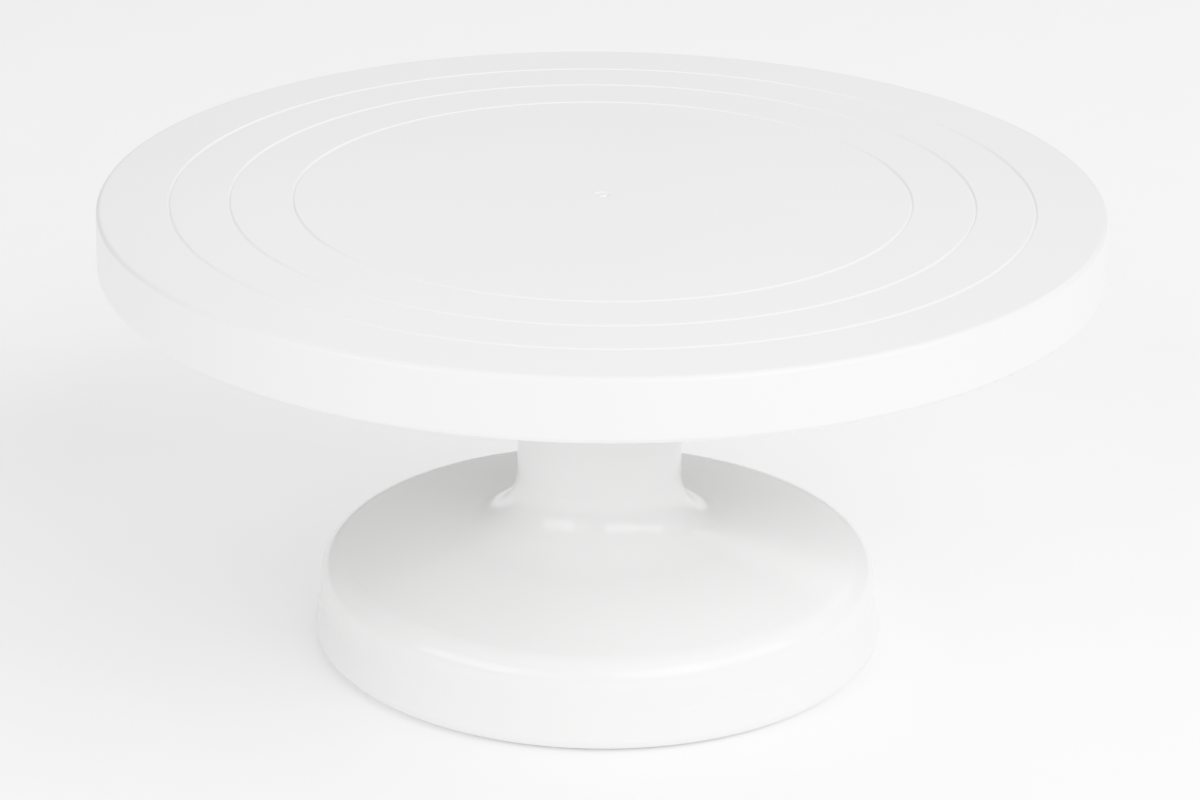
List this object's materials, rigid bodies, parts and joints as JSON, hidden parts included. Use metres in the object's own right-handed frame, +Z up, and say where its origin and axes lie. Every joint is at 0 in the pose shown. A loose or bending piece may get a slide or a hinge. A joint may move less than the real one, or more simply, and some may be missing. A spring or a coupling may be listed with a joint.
{
  "type": "revolving cake turntable",
  "caption": "Round flat rotating plate with a deep skirt and engraved rings, on a low domed pedestal base with a neck; the plate turns on a ball bearing inside the neck.",
  "frame": {"origin": "on the table surface, on the spindle's axis, level with the bottom of the rubber feet", "axes": "+Z up along the spindle, from the feet to the plate; +X and +Y lie in the table plane, +X through one rubber foot"},
  "size_m": [0.3099, 0.31, 0.1469],
  "materials": {
    "white_gloss": "smooth white gloss moulding",
    "cover_plastic": "fine matt white moulding",
    "tower_plastic": "plain off-white moulding",
    "cage_plastic": "natural nylon",
    "cast_aluminium": "as cast, fine grain",
    "spindle_steel": "ground and turned",
    "bearing_steel": "ground",
    "ball_steel": "polished",
    "clip_steel": "blackened spring steel",
    "screw_steel": "zinc plated",
    "bush_brass": "turned",
    "foot_rubber": "matt grey"
  },
  "bodies": {
    "base": {"base_shell": "white_gloss", "base_cover": "cover_plastic", "cover_screws": "screw_steel", "rubber_feet": "foot_rubber", "bearing_tower": "tower_plastic", "tower_screws": "screw_steel", "upper_bush": "bush_brass", "lower_bush": "bush_brass", "lower_race": "bearing_steel"},
    "plate": {"top_plate": "white_gloss", "hub_flange": "cast_aluminium", "hub_screws": "screw_steel", "cross_pin": "bearing_steel", "spindle": "spindle_steel", "upper_race": "bearing_steel", "thrust_washer": "bearing_steel", "retaining_clip": "clip_steel"},
    "ball_set": {"ball_cage": "cage_plastic", "bearing_balls": "ball_steel"}
  },
  "joints": [
    {"name": "plate_spin", "type": "hinge", "parent": "base", "child": "plate", "pos_m": [0, 0, 0.12], "axis": [0, 0, 1], "continuous": true},
    {"name": "ball_set_spin", "type": "hinge", "parent": "base", "child": "ball_set", "pos_m": [0, 0, 0.1252], "axis": [0, 0, 1], "continuous": true}
  ],
  "couplings": [
    {"joint": "ball_set_spin", "follows": "plate_spin", "ratio": 0.5}
  ]
}
